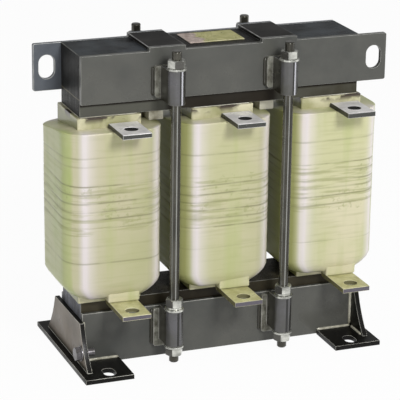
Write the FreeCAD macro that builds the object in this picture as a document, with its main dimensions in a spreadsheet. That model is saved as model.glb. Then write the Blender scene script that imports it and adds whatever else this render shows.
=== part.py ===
"""Three-phase iron-core reactor: laminated core, three resin-taped coils, clamp frame and feet.

Frame: X runs along the row of coils, -Y is the terminal side, +Z is up. The origin is the centre of
the core's footprint, level with the underside of the feet. Lengths are in millimetres.
"""
import FreeCAD, Part
import Sketcher
import math
import os

document = FreeCAD.newDocument("load_side_reactor")

# Driving sizes. Each one is written once here and read everywhere else by its name.
SIZES = {
    # laminated core
    "core_length": 300,
    "stack_depth": 60,
    "limb_width": 60,
    "yoke_height": 62.5,
    "gap_spacer_thickness": 3,
    "ground_clearance": 0.5,
    # clamp frame
    "clamp_thickness": 5,
    "upper_clamp_height": 49,
    "lower_clamp_height": 55.5,
    "ear_length": 29,
    "ear_slot_width": 16.5,
    "ear_slot_length": 24.5,
    "ear_slot_inset": 14,
    "ear_corner": 2,
    "strap_width": 38,
    "strap_thickness": 4,
    # tie rods with their brackets and fasteners
    "rod_offset": 25,
    "rod_diameter": 10,
    "rod_top_stub": 9,
    "rod_bottom_stub": 8,
    "rod_clearance": 0.3,
    "rod_chamfer": 1,
    "bracket_sheet": 3.7,
    "pad_width": 30,
    "pad_thickness": 5,
    "pad_corner": 3,
    "upper_bracket_height": 34.5,
    "upper_bracket_drop": 13.5,
    "lower_bracket_height": 38,
    "lower_bracket_rise": 20.5,
    "upper_pad_height": 32,
    "upper_pad_drop": 14,
    "lower_pad_height": 41.5,
    "lower_pad_rise": 12.5,
    "washer_diameter": 20,
    "washer_thickness": 2.2,
    "spring_washer_diameter": 16,
    "spring_washer_thickness": 2.2,
    "nut_width": 16,
    "nut_height": 8,
    # coils on their formers
    "former_clearance": 0.3,
    "former_wall": 3.2,
    "former_corner": 2,
    "coil_gap": 15,
    "coil_depth": 101,
    "coil_lead_build": 1.5,
    "outer_coil_shift": 2,
    "coil_height": 175,
    "coil_rise": 8,
    "coil_headroom": 11.5,
    "coil_corner": 24,
    "coil_taper_height": 15,
    "coil_taper_side": 14,
    "coil_taper_face": 6,
    "coil_top_bevel": 2,
    "coil_fall_slope": 0.173,
    "coil_fall_turn": 30,
    "coil_block_length": 15.5,
    "coil_block_depth": 44,
    "coil_block_shift": 52.8,
    "coil_block_fit": 0.3,
    # terminal bars
    "terminal_width": 30,
    "terminal_thickness": 5,
    "terminal_bend": 4,
    "terminal_hole": 14,
    "terminal_lead": 30,
    "upper_terminal_reach": 80,
    "upper_terminal_shift": 13,
    "upper_terminal_inset": 19,
    "lower_terminal_reach": 89,
    "lower_terminal_shift": 10,
    "lower_terminal_inset": 15,
    "lower_terminal_drop": 5,
    # feet
    "foot_thickness": 5,
    "foot_length": 169,
    "foot_reach": 39,
    "foot_lip": 12,
    "foot_slot_length": 19,
    "foot_slot_width": 12.5,
    "foot_slot_setback": 16.7,
    "foot_slot_end": 14.5,
    "foot_fit": 0.3,
    "web_height": 49,
    "web_top_width": 84,
    "web_setback": 16.5,
    "web_hollow": 3,
    # earth bolt in the web of the left foot
    "earth_bolt_diameter": 8,
    "earth_bolt_length": 15,
    "earth_bolt_inward": 4.5,
    "earth_bolt_height": 19,
    "earth_head_width": 13,
    "earth_head_height": 5.3,
    "earth_washer_diameter": 16,
    "earth_washer_thickness": 1.6,
    # rating plate, left bare
    "plate_length": 59,
    "plate_width": 39,
    "plate_thickness": 1,
    "plate_offset": 3,
}

sheet = document.addObject("Spreadsheet::Sheet", "Sizes")
for row, (alias, number) in enumerate(SIZES.items(), start=1):
    sheet.set(f"A{row}", alias)
    sheet.set(f"B{row}", str(number))
    sheet.setAlias(f"B{row}", alias)
document.recompute()


def value(expression):
    """The number that an expression gives now, in millimetres."""
    result = sheet.evalExpression(str(expression))
    return float(getattr(result, "Value", result))


# Places that several pieces share, each worked out from the sizes.
CORE_END = "(Sizes.core_length / 2)"
CORE_FACE = "(Sizes.stack_depth / 2)"
CLAMP_FACE = "(Sizes.stack_depth / 2 + Sizes.clamp_thickness)"
ROD_Y = f"({CLAMP_FACE} + Sizes.rod_offset)"
LIMB_PITCH = "((Sizes.core_length - Sizes.limb_width) / 2)"
ROD_X = f"({LIMB_PITCH} / 2)"
CLAMP_BOTTOM = "Sizes.ground_clearance"
CORE_BOTTOM = f"({CLAMP_BOTTOM} + Sizes.strap_thickness)"
WINDOW_BOTTOM = f"({CORE_BOTTOM} + Sizes.yoke_height)"
WINDOW_HEIGHT = "(Sizes.coil_rise + Sizes.coil_height + Sizes.coil_headroom)"
WINDOW_TOP = f"({WINDOW_BOTTOM} + {WINDOW_HEIGHT})"
CORE_TOP = f"({WINDOW_TOP} + Sizes.yoke_height)"
UPPER_BRACKET_TOP = f"({CORE_TOP} - Sizes.upper_bracket_drop)"
LOWER_BRACKET_BOTTOM = f"({CLAMP_BOTTOM} + Sizes.lower_bracket_rise)"
LOWER_BRACKET_TOP = f"({LOWER_BRACKET_BOTTOM} + Sizes.lower_bracket_height)"
FORMER_GAP = "(Sizes.limb_width / 2 + Sizes.former_clearance)"
FORMER_SIDE = f"({FORMER_GAP} + Sizes.former_wall)"
FORMER_GAP_Y = f"({CORE_FACE} + Sizes.former_clearance)"
FORMER_SIDE_Y = f"({FORMER_GAP_Y} + Sizes.former_wall)"
COIL_BOTTOM = f"({WINDOW_BOTTOM} + Sizes.coil_rise)"
COIL_TOP = f"({COIL_BOTTOM} + Sizes.coil_height)"
COIL_WIDTH = f"({LIMB_PITCH} - Sizes.coil_gap)"
WEB_FOOT = "(Sizes.foot_length / 2 - Sizes.web_setback)"
EARTH_OFFSET = f"(({CLAMP_FACE} + {WEB_FOOT}) / 2 - Sizes.earth_bolt_inward)"

SIDES = {"left": -1, "right": 1}
FACES = {"front": -1, "rear": 1}
PHASES = {"left": -1, "centre": 0, "right": 1}

nodes = []


def node(thing, label):
    """Name a finished piece, which later gets a file of that name."""
    thing.Label = label
    nodes.append(thing)
    return thing


def bind(thing, **expressions):
    """Tie properties of a thing to expressions."""
    for name, expression in expressions.items():
        thing.setExpression(name, str(expression))


def place(thing, x, y, z):
    """Tie a thing's position to three expressions."""
    for axis, expression in zip("xyz", (x, y, z)):
        thing.setExpression(f"Placement.Base.{axis}", str(expression))


def block(name, length, depth, height, x, y, z):
    """A box whose base is centred on x, y and stands at z."""
    box = document.addObject("Part::Box", name)
    bind(box, Length=length, Width=depth, Height=height)
    place(box, f"{x} - ({length}) / 2", f"{y} - ({depth}) / 2", z)
    return box


def rod(name, diameter, height, x, y, z):
    """A cylinder on an upright axis at x, y, standing at z."""
    cylinder = document.addObject("Part::Cylinder", name)
    bind(cylinder, Radius=f"({diameter}) / 2", Height=height)
    place(cylinder, x, y, z)
    return cylinder


def cut(name, base, tools):
    """Base less one or more tools."""
    tool = tools[0]
    if len(tools) > 1:
        tool = document.addObject("Part::MultiFuse", f"{name}_tools")
        tool.Shapes = tools
    result = document.addObject("Part::Cut", name)
    result.Base = base
    result.Tool = tool
    return result


def fuse(name, shapes):
    """Several solids made one."""
    result = document.addObject("Part::MultiFuse", name)
    result.Shapes = shapes
    result.Refine = True
    return result


def group(name, things):
    """Like pieces that share one node as separate solids."""
    result = document.addObject("Part::Compound", name)
    result.Links = things
    return result


def sketch_on(body, name, role, height="0"):
    """A sketch on one of the body's own origin planes, raised along its normal."""
    sketch = body.newObject("Sketcher::SketchObject", name)
    plane = next(item for item in body.Origin.OriginFeatures if item.Role == role)
    sketch.AttachmentSupport = [(plane, "")]
    sketch.MapMode = "FlatFace"
    sketch.setExpression("AttachmentOffset.Base.z", str(height))
    return sketch


def hold(sketch, kind, geometry, point, expression):
    """Hold one coordinate of a point at the value of an expression."""
    number = value(expression)
    if abs(number) < 1e-9:
        axis = -2 if kind == "DistanceX" else -1
        sketch.addConstraint(Sketcher.Constraint("PointOnObject", geometry, point, axis))
        return
    index = sketch.addConstraint(Sketcher.Constraint(kind, -1, 1, geometry, point, number))
    sketch.setExpression(f"Constraints[{index}]", str(expression))


def outline(sketch, corners):
    """A closed run of straight lines through corners given as pairs of expressions."""
    points = [FreeCAD.Vector(value(x), value(y), 0) for x, y in corners]
    first = None
    previous = None
    for index, start in enumerate(points):
        end = points[(index + 1) % len(points)]
        line = sketch.addGeometry(Part.LineSegment(start, end), False)
        if previous is not None:
            sketch.addConstraint(Sketcher.Constraint("Coincident", previous, 2, line, 1))
        else:
            first = line
        previous = line
        hold(sketch, "DistanceX", line, 1, corners[index][0])
        hold(sketch, "DistanceY", line, 1, corners[index][1])
    sketch.addConstraint(Sketcher.Constraint("Coincident", previous, 2, first, 1))


def circle_outline(sketch, x, y, diameter):
    """A round hole centred on x, y."""
    middle = FreeCAD.Vector(value(x), value(y), 0)
    circle = Part.Circle(middle, FreeCAD.Vector(0, 0, 1), value(diameter) / 2)
    line = sketch.addGeometry(circle, False)
    hold(sketch, "DistanceX", line, 3, x)
    hold(sketch, "DistanceY", line, 3, y)
    index = sketch.addConstraint(Sketcher.Constraint("Diameter", line, value(diameter)))
    sketch.setExpression(f"Constraints[{index}]", str(diameter))


def slot_outline(sketch, x, y, length, width):
    """An upright oblong hole with round ends, centred on x, y."""
    radius = f"({width}) / 2"
    run = f"(({length}) - ({width})) / 2"
    ends = []
    for sign in (-1, 1):
        centre = (x, f"({y}) + {sign} * {run}")
        middle = FreeCAD.Vector(value(centre[0]), value(centre[1]), 0)
        start = 0 if sign > 0 else math.pi
        circle = Part.Circle(middle, FreeCAD.Vector(0, 0, 1), value(radius))
        arc = sketch.addGeometry(Part.ArcOfCircle(circle, start, start + math.pi), False)
        hold(sketch, "DistanceX", arc, 3, centre[0])
        hold(sketch, "DistanceY", arc, 3, centre[1])
        index = sketch.addConstraint(Sketcher.Constraint("Radius", arc, value(radius)))
        sketch.setExpression(f"Constraints[{index}]", radius)
        ends.append(arc)
    for one, other in (ends, ends[::-1]):
        start = sketch.getPoint(one, 2)
        end = sketch.getPoint(other, 1)
        line = sketch.addGeometry(Part.LineSegment(start, end), False)
        sketch.addConstraint(Sketcher.Constraint("Tangent", one, 2, line, 1))
        sketch.addConstraint(Sketcher.Constraint("Tangent", line, 2, other, 1))


def pad(body, name, sketch, length, symmetric=False, reverse=False):
    """Thicken a sketch."""
    feature = body.newObject("PartDesign::Pad", name)
    feature.Profile = sketch
    feature.SideType = "Symmetric" if symmetric else "One side"
    feature.Reversed = reverse
    feature.setExpression("Length", str(length))
    body.Tip = feature
    document.recompute()
    return feature


def new_body(name):
    return document.addObject("PartDesign::Body", name)


def rounded_block(name, side_x, side_y, corner, height, x, y, z):
    """An upright block with rounded upright edges, given by its half widths."""
    body = new_body(name)
    sketch = sketch_on(body, f"{name}_outline", "XY_Plane")
    outline(sketch, [(f"-{side_x}", f"-{side_y}"), (side_x, f"-{side_y}"),
                     (side_x, side_y), (f"-{side_x}", side_y)])
    pad(body, f"{name}_pad", sketch, height)
    round_edges(body, f"{name}_corners", is_upright, corner)
    place(body, x, y, z)
    return body


def is_upright(edge):
    """True for a straight edge along Z."""
    first, last = edge.Vertexes[0].Point, edge.Vertexes[-1].Point
    return abs(first.x - last.x) < 1e-6 and abs(first.y - last.y) < 1e-6


def round_edges(body, name, test, radius):
    """Round the edges of a body's last feature that pass a test."""
    base = body.Tip
    edges = [f"Edge{number}" for number, edge in enumerate(base.Shape.Edges, start=1) if test(edge)]
    feature = body.newObject("PartDesign::Fillet", name)
    feature.Base = (base, edges)
    feature.setExpression("Radius", str(radius))
    body.Tip = feature
    document.recompute()
    return feature


# Core. Limbs and lower yoke are one stack of laminations; the upper yoke is a stack of its own, and an
# insulating spacer on each limb sets the magnetic gap below it.
def core_stack():
    body = new_body("core_stack")
    sketch = sketch_on(body, "core_outline", "XZ_Plane")
    limb_top = f"{WINDOW_TOP} - Sizes.gap_spacer_thickness"
    half = "Sizes.limb_width / 2"
    corners = [(f"-{CORE_END}", CORE_BOTTOM), (CORE_END, CORE_BOTTOM)]
    for centre in (LIMB_PITCH, "0", f"-{LIMB_PITCH}"):
        outer, inner = f"{centre} + {half}", f"{centre} - {half}"
        if centre != LIMB_PITCH:
            corners.append((outer, WINDOW_BOTTOM))
        corners.append((outer, limb_top))
        corners.append((inner, limb_top))
        if centre != f"-{LIMB_PITCH}":
            corners.append((inner, WINDOW_BOTTOM))
    outline(sketch, corners)
    pad(body, "core_pad", sketch, "Sizes.stack_depth", symmetric=True)
    node(body, "core_stack")


def upper_yoke():
    yoke = block("upper_yoke", "Sizes.core_length", "Sizes.stack_depth", "Sizes.yoke_height",
                 "0", "0", WINDOW_TOP)
    node(yoke, "upper_yoke")


def gap_spacers():
    for phase, sign in PHASES.items():
        spacer = block(f"gap_spacer_{phase}", "Sizes.limb_width", "Sizes.stack_depth",
                       "Sizes.gap_spacer_thickness", f"{sign} * {LIMB_PITCH}", "0",
                       f"{WINDOW_TOP} - Sizes.gap_spacer_thickness")
        node(spacer, f"gap_spacer_{phase}")


# Clamp plates. The upper pair is one part used twice, turned half round, so that one slotted ear
# stands out at each end. A tab above each pair of rods meets the end of a strap.
def upper_clamp(face, sign):
    body = new_body(f"upper_clamp_{face}")
    sketch = sketch_on(body, f"upper_clamp_{face}_outline", "XZ_Plane")
    ear_end = f"({CORE_END} + Sizes.ear_length)"
    half_strap = "Sizes.strap_width / 2"
    bottom = f"{CORE_TOP} - Sizes.upper_clamp_height"
    tab_top = f"{CORE_TOP} + Sizes.strap_thickness"
    corners = [(f"-{CORE_END}", bottom), (ear_end, bottom), (ear_end, CORE_TOP)]
    for centre in (ROD_X, f"-{ROD_X}"):
        for x, z in (("+", CORE_TOP), ("+", tab_top), ("-", tab_top), ("-", CORE_TOP)):
            corners.append((f"{centre} {x} {half_strap}", z))
    corners.append((f"-{CORE_END}", CORE_TOP))
    outline(sketch, corners)
    slot_outline(sketch, f"{ear_end} - Sizes.ear_slot_inset",
                 f"{CORE_TOP} - Sizes.upper_clamp_height / 2",
                 "Sizes.ear_slot_length", "Sizes.ear_slot_width")
    pad(body, f"upper_clamp_{face}_pad", sketch, "Sizes.clamp_thickness")
    end = value(ear_end)
    round_edges(body, f"upper_clamp_{face}_corners",
                lambda edge: runs_along_y(edge) and abs(edge.Vertexes[0].X - end) < 0.01,
                "Sizes.ear_corner")
    if sign > 0:
        body.Placement.Rotation = FreeCAD.Rotation(180, 0, 0)
    body.setExpression("Placement.Base.y", f"{sign} * {CORE_FACE}")
    node(body, f"upper_clamp_{face}")


def lower_clamp(face, sign):
    y = f"{sign} * ({CORE_FACE} + Sizes.clamp_thickness / 2)"
    plate = block(f"lower_clamp_{face}", "Sizes.core_length", "Sizes.clamp_thickness",
                  "Sizes.lower_clamp_height", "0", y, CLAMP_BOTTOM)
    node(plate, f"lower_clamp_{face}")


def straps():
    for side, sign in SIDES.items():
        for level, z in (("upper", CORE_TOP), ("lower", CLAMP_BOTTOM)):
            strap = block(f"{level}_strap_{side}", "Sizes.strap_width", "Sizes.stack_depth",
                          "Sizes.strap_thickness", f"{sign} * {ROD_X}", "0", z)
            node(strap, f"{level}_strap_{side}")


# Rod brackets. Each is a pad welded to the clamp plate with a sheet folded round the rod welded to
# the pad, open towards the plate.
def rod_bracket(level, side, face, pad_bottom, bottom):
    name = f"{level}_bracket_{face}_{side}"
    height = f"Sizes.{level}_bracket_height"
    across, along = SIDES[side], FACES[face]
    x = f"{across} * {ROD_X}"
    y = f"{along} * {ROD_Y}"
    bore = "(Sizes.rod_diameter + 2 * Sizes.rod_clearance)"
    outside = f"({bore} + 2 * Sizes.bracket_sheet)"
    wall_depth = "(Sizes.rod_offset - Sizes.pad_thickness)"
    wall_y = f"{along} * ({CLAMP_FACE} + Sizes.pad_thickness + {wall_depth} / 2)"
    plate = block(f"{name}_plate", "Sizes.pad_width", "Sizes.pad_thickness",
                  f"Sizes.{level}_pad_height", x,
                  f"{along} * ({CLAMP_FACE} + Sizes.pad_thickness / 2)", pad_bottom)
    corners = document.addObject("Part::Fillet", f"{name}_pad")
    corners.Base = plate
    document.recompute()
    radius = value("Sizes.pad_corner")
    corners.Edges = [(number, radius, radius) for number, edge in enumerate(plate.Shape.Edges, start=1)
                     if runs_along_y(edge)]
    nose = rod(f"{name}_nose", outside, height, x, y, bottom)
    walls = block(f"{name}_walls", outside, wall_depth, height, x, wall_y, bottom)
    hole = rod(f"{name}_hole", bore, height, x, y, bottom)
    channel = block(f"{name}_channel", bore, wall_depth, height, x, wall_y, bottom)
    sleeve = cut(f"{name}_sleeve", fuse(f"{name}_saddle", [nose, walls]), [hole, channel])
    node(fuse(name, [corners, sleeve]), name)


def runs_along_y(edge):
    """True for a straight edge along Y."""
    first, last = edge.Vertexes[0].Point, edge.Vertexes[-1].Point
    return abs(first.x - last.x) < 1e-6 and abs(first.z - last.z) < 1e-6


def runs_along_x(edge):
    """True for a straight edge along X."""
    first, last = edge.Vertexes[0].Point, edge.Vertexes[-1].Point
    return abs(first.y - last.y) < 1e-6 and abs(first.z - last.z) < 1e-6


def rod_brackets():
    for side in SIDES:
        for face in FACES:
            rod_bracket("upper", side, face,
                        f"{CORE_TOP} - Sizes.upper_pad_drop - Sizes.upper_pad_height",
                        f"{UPPER_BRACKET_TOP} - Sizes.upper_bracket_height")
            rod_bracket("lower", side, face, f"{CLAMP_BOTTOM} + Sizes.lower_pad_rise",
                        LOWER_BRACKET_BOTTOM)


# Fasteners. Hex nuts are chamfered on both faces; each kind shares one node as separate solids.
def hex_prism(name, across_flats, height):
    """A hexagonal prism whose six corners are turned off at both ends."""
    prism = document.addObject("Part::Prism", f"{name}_prism")
    prism.Polygon = 6
    corner_radius = f"(({across_flats}) / 2 / cos(30deg))"
    bind(prism, Circumradius=corner_radius, Height=height)
    turned = document.addObject("Part::Cylinder", f"{name}_blank")
    bind(turned, Radius=corner_radius, Height=height)
    document.recompute()
    chamfer = document.addObject("Part::Chamfer", f"{name}_turned")
    chamfer.Base = turned
    depth = value(corner_radius) - value(across_flats) / 2
    chamfer.Edges = [(number, depth * math.tan(math.radians(30)), depth)
                     for number, edge in enumerate(turned.Shape.Edges, start=1) if edge.isClosed()]
    both = document.addObject("Part::Common", f"{name}_hexagon")
    both.Base = prism
    both.Tool = chamfer
    return both


def ring(name, outer, inner, thickness):
    """A flat ring on the upright axis."""
    return cut(f"{name}_ring", rod(f"{name}_disc", outer, thickness, "0", "0", "0"),
               [rod(f"{name}_hole", inner, thickness, "0", "0", "0")])


def copies(name, master, spots):
    """One link to the master at each spot, given as x, y and z expressions."""
    links = []
    for number, (x, y, z) in enumerate(spots, start=1):
        link = document.addObject("App::Link", f"{name}_{number}")
        link.LinkedObject = master
        link.Placement.Rotation = master.Placement.Rotation
        place(link, x, y, z)
        links.append(link)
    return group(name, links)


def rod_spots(*heights):
    """The four rod axes at each height."""
    return [(f"{across} * {ROD_X}", f"{along} * {ROD_Y}", z)
            for z in heights for across in SIDES.values() for along in FACES.values()]


def rod_fasteners():
    bore = "Sizes.rod_diameter"
    nut = cut("nut_master", hex_prism("nut", "Sizes.nut_width", "Sizes.nut_height"),
              [rod("nut_bore", bore, "Sizes.nut_height", "0", "0", "0")])
    loose = "(Sizes.rod_diameter + 2 * Sizes.rod_clearance)"
    washer = ring("washer", "Sizes.washer_diameter", loose, "Sizes.washer_thickness")
    spring = ring("spring", "Sizes.spring_washer_diameter", loose, "Sizes.spring_washer_thickness")
    upper_nut = f"{UPPER_BRACKET_TOP} + Sizes.washer_thickness"
    middle_spring = f"{LOWER_BRACKET_TOP} + Sizes.washer_thickness"
    middle_nut = f"{middle_spring} + Sizes.spring_washer_thickness"
    lower_washer = f"{LOWER_BRACKET_BOTTOM} - Sizes.washer_thickness"
    lower_nut = f"{lower_washer} - Sizes.nut_height"
    node(copies("upper_nuts", nut, rod_spots(upper_nut)), "upper_nuts")
    node(copies("middle_nuts", nut, rod_spots(middle_nut)), "middle_nuts")
    node(copies("lower_nuts", nut, rod_spots(lower_nut)), "lower_nuts")
    node(copies("upper_washers", washer, rod_spots(UPPER_BRACKET_TOP)), "upper_washers")
    node(copies("lower_washers", washer, rod_spots(LOWER_BRACKET_TOP, lower_washer)), "lower_washers")
    node(copies("spring_washers", spring, rod_spots(middle_spring)), "spring_washers")
    rod_bottom = f"({lower_nut} - Sizes.rod_bottom_stub)"
    rod_top = f"({upper_nut} + Sizes.nut_height + Sizes.rod_top_stub)"
    for side, across in SIDES.items():
        for face, along in FACES.items():
            name = f"tie_rod_{face}_{side}"
            shank = rod(f"{name}_shank", "Sizes.rod_diameter", f"{rod_top} - {rod_bottom}",
                        f"{across} * {ROD_X}", f"{along} * {ROD_Y}", rod_bottom)
            document.recompute()
            ends = document.addObject("Part::Chamfer", name)
            ends.Base = shank
            depth = value("Sizes.rod_chamfer")
            ends.Edges = [(number, depth, depth)
                          for number, edge in enumerate(shank.Shape.Edges, start=1) if edge.isClosed()]
            node(ends, name)


# Coils. Each former is a square insulating tube on its limb. The winding is wound tight on it and
# taped, with its lower edge drawn in, and the leads of the terminal bars leave it between the two.
def former(phase, sign):
    x = f"{sign} * {LIMB_PITCH}"
    height = f"({WINDOW_HEIGHT} - 2 * Sizes.former_clearance)"
    z = f"{WINDOW_BOTTOM} + Sizes.former_clearance"
    outer = rounded_block(f"former_{phase}_outer", FORMER_SIDE, FORMER_SIDE_Y,
                          "Sizes.former_corner", height, x, "0", z)
    inner = block(f"former_{phase}_inner", f"2 * {FORMER_GAP}", f"2 * {FORMER_GAP_Y}", height, x, "0", z)
    node(cut(f"former_{phase}", outer, [inner]), f"former_{phase}")


def coil(phase, sign):
    body = new_body(f"coil_{phase}_winding")
    half_x, half_y = f"({COIL_WIDTH} / 2)", "(Sizes.coil_depth / 2)"
    corner = "Sizes.coil_corner"
    side, face = "Sizes.coil_taper_side", "Sizes.coil_taper_face"
    taper, bevel = "Sizes.coil_taper_height", "Sizes.coil_top_bevel"
    levels = (("foot", "0", side, face, f"{corner} - {face}"),
              ("hem", f"0.45 * {taper}", f"0.4 * {side}", f"0.25 * {face}", f"{corner} - 0.25 * {face}"),
              ("belly", taper, "0", "0", corner),
              ("shoulder", f"(Sizes.coil_height - {bevel})", "0", "0", corner),
              ("crown", "Sizes.coil_height", bevel, bevel, f"{corner} - {bevel} / 2"))
    sections = []
    for level, height, inset_x, inset_y, radius in levels:
        sketch = sketch_on(body, f"coil_{phase}_{level}", "XY_Plane", height)
        rounded_outline(sketch, f"({half_x} - {inset_x})", f"({half_y} - {inset_y})", f"({radius})")
        sections.append(sketch)
    loft = body.newObject("PartDesign::AdditiveLoft", f"coil_{phase}_loft")
    loft.Profile = sections[0]
    loft.Sections = sections[1:]
    loft.Ruled = True
    body.Tip = loft
    x = f"{sign} * {LIMB_PITCH}"
    place(body, f"{sign} * ({LIMB_PITCH} - Sizes.outer_coil_shift)", "-Sizes.coil_lead_build", COIL_BOTTOM)
    opening = rounded_block(f"coil_{phase}_opening", FORMER_SIDE, FORMER_SIDE_Y,
                            "Sizes.former_corner", "Sizes.coil_height", x, "0", COIL_BOTTOM)
    pockets = []
    for level, z in (("upper", f"{COIL_TOP} - Sizes.terminal_lead"), ("lower", COIL_BOTTOM)):
        shift = f"{x} + Sizes.{level}_terminal_shift"
        y = f"-({FORMER_SIDE_Y} + Sizes.terminal_thickness / 2)"
        pockets.append(block(f"coil_{phase}_{level}_pocket", "Sizes.terminal_width",
                             "Sizes.terminal_thickness", "Sizes.terminal_lead", shift, y, z))
    node(cut(f"coil_{phase}", body, [opening, coil_fall(phase, sign)] + pockets), f"coil_{phase}")


def coil_fall(phase, sign):
    """The wedge above a coil's top, where the last turn falls away towards the rear left."""
    body = new_body(f"coil_{phase}_fall")
    sketch = sketch_on(body, f"coil_{phase}_slope", "YZ_Plane")
    run = COIL_WIDTH
    drop = f"{run} * Sizes.coil_fall_slope"
    outline(sketch, [("0", "0"), (run, f"-{drop}"), (run, drop), ("0", drop)])
    pad(body, f"coil_{phase}_fall_pad", sketch, f"3 * {run}", symmetric=True)
    body.Placement.Rotation = FreeCAD.Rotation(value("Sizes.coil_fall_turn"), 0, 0)
    place(body, f"{sign} * ({LIMB_PITCH} - Sizes.outer_coil_shift)", "-Sizes.coil_lead_build", COIL_TOP)
    return body


# Coil blocks. A block on the right shoulder of a coil wedges it against the upper yoke.
def coil_blocks():
    for side, sign in (("left", -1), ("right", 0)):
        piece = block(f"coil_block_{side}", "Sizes.coil_block_length", "Sizes.coil_block_depth",
                      f"{WINDOW_TOP} - {COIL_TOP} - Sizes.coil_block_fit",
                      f"{sign} * {LIMB_PITCH} + Sizes.coil_block_shift", "0", COIL_TOP)
        node(piece, f"coil_block_{side}")


def rounded_outline(sketch, half_x, half_y, corner):
    """A rectangle with round corners about the sketch's origin."""
    turns = ((1, 1, 0), (-1, 1, 90), (-1, -1, 180), (1, -1, 270))
    arcs = []
    for across, along, start in turns:
        centre = (f"{across} * ({half_x} - {corner})", f"{along} * ({half_y} - {corner})")
        middle = FreeCAD.Vector(value(centre[0]), value(centre[1]), 0)
        circle = Part.Circle(middle, FreeCAD.Vector(0, 0, 1), value(corner))
        angle = math.radians(start)
        arc = sketch.addGeometry(Part.ArcOfCircle(circle, angle, angle + math.pi / 2), False)
        hold(sketch, "DistanceX", arc, 3, centre[0])
        hold(sketch, "DistanceY", arc, 3, centre[1])
        index = sketch.addConstraint(Sketcher.Constraint("Radius", arc, value(corner)))
        sketch.setExpression(f"Constraints[{index}]", corner)
        arcs.append(arc)
    for one, other in zip(arcs, arcs[1:] + arcs[:1]):
        start, end = sketch.getPoint(one, 2), sketch.getPoint(other, 1)
        line = sketch.addGeometry(Part.LineSegment(start, end), False)
        sketch.addConstraint(Sketcher.Constraint("Tangent", one, 2, line, 1))
        sketch.addConstraint(Sketcher.Constraint("Tangent", line, 2, other, 1))


# Terminal bars. Each is a flat bar with one hole, bent once, whose lead runs up or down inside the
# coil along the former.
def terminal(level, phase, sign):
    name = f"{level}_terminal_{phase}"
    body = new_body(name)
    sketch = sketch_on(body, f"{name}_profile", "YZ_Plane")
    reach = f"-Sizes.{level}_terminal_reach"
    back = f"-{FORMER_SIDE_Y}"
    inner = f"{back} - Sizes.terminal_thickness"
    if level == "lower":
        near, far = "Sizes.terminal_thickness", "0"
        end = f"{near} + Sizes.lower_terminal_drop + Sizes.terminal_lead"
    else:
        near, far = "0", "Sizes.terminal_thickness"
        end = "-Sizes.terminal_lead"
    corners = [(reach, near), (inner, near), (inner, end), (back, end), (back, far), (reach, far)]
    outline(sketch, corners)
    pad(body, f"{name}_pad", sketch, "Sizes.terminal_width", symmetric=True)
    bend_y, bend_z = value(back), value(far)
    round_edges(body, f"{name}_bend",
                lambda edge: runs_along_x(edge) and abs(edge.Vertexes[0].Y - bend_y) < 0.01
                and abs(edge.Vertexes[0].Z - bend_z) < 0.01, "Sizes.terminal_bend")
    drill = sketch_on(body, f"{name}_drill", "XY_Plane", "-2 * Sizes.terminal_thickness")
    middle = f"{reach} + Sizes.{level}_terminal_inset"
    circle_outline(drill, "0", middle, "Sizes.terminal_hole")
    hole = body.newObject("PartDesign::Pocket", f"{name}_hole")
    hole.Profile = drill
    hole.Reversed = True
    hole.setExpression("Length", "4 * Sizes.terminal_thickness")
    body.Tip = hole
    lower_z = f"{COIL_BOTTOM} - Sizes.lower_terminal_drop - Sizes.terminal_thickness"
    place(body, f"{sign} * {LIMB_PITCH} + Sizes.{level}_terminal_shift", "0",
          COIL_TOP if level == "upper" else lower_z)
    node(body, name)


# Feet. A base plate is notched round the clamped core and carries a web that stands on the core's
# end. The four oblong holes take the fixing bolts.
def foot(side, sign):
    name = f"foot_{side}"
    body = new_body(name)
    base = sketch_on(body, f"{name}_base", "XY_Plane")
    half = "Sizes.foot_length / 2"
    notch = f"{CLAMP_FACE} + Sizes.foot_fit"
    corners = [("Sizes.foot_lip", f"-{half}"), ("Sizes.foot_lip", half),
               ("-Sizes.foot_reach", half), ("-Sizes.foot_reach", notch), ("0", notch),
               ("0", f"-({notch})"), ("-Sizes.foot_reach", f"-({notch})"),
               ("-Sizes.foot_reach", f"-{half}")]
    outline(base, corners)
    for along in (-1, 1):
        slot_outline(base, "-Sizes.foot_slot_setback", f"{along} * ({half} - Sizes.foot_slot_end)",
                     "Sizes.foot_slot_length", "Sizes.foot_slot_width")
    pad(body, f"{name}_base_pad", base, "Sizes.foot_thickness")
    web = sketch_on(body, f"{name}_web", "YZ_Plane")
    web_outline(web)
    if side == "left":
        circle_outline(web, EARTH_OFFSET, "Sizes.earth_bolt_height",
                       "Sizes.earth_bolt_diameter")
    pad(body, f"{name}_web_pad", web, "Sizes.foot_thickness")
    if sign < 0:
        body.Placement.Rotation = FreeCAD.Rotation(180, 0, 0)
    body.setExpression("Placement.Base.x", f"{sign} * {CORE_END}")
    node(body, name)


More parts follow.
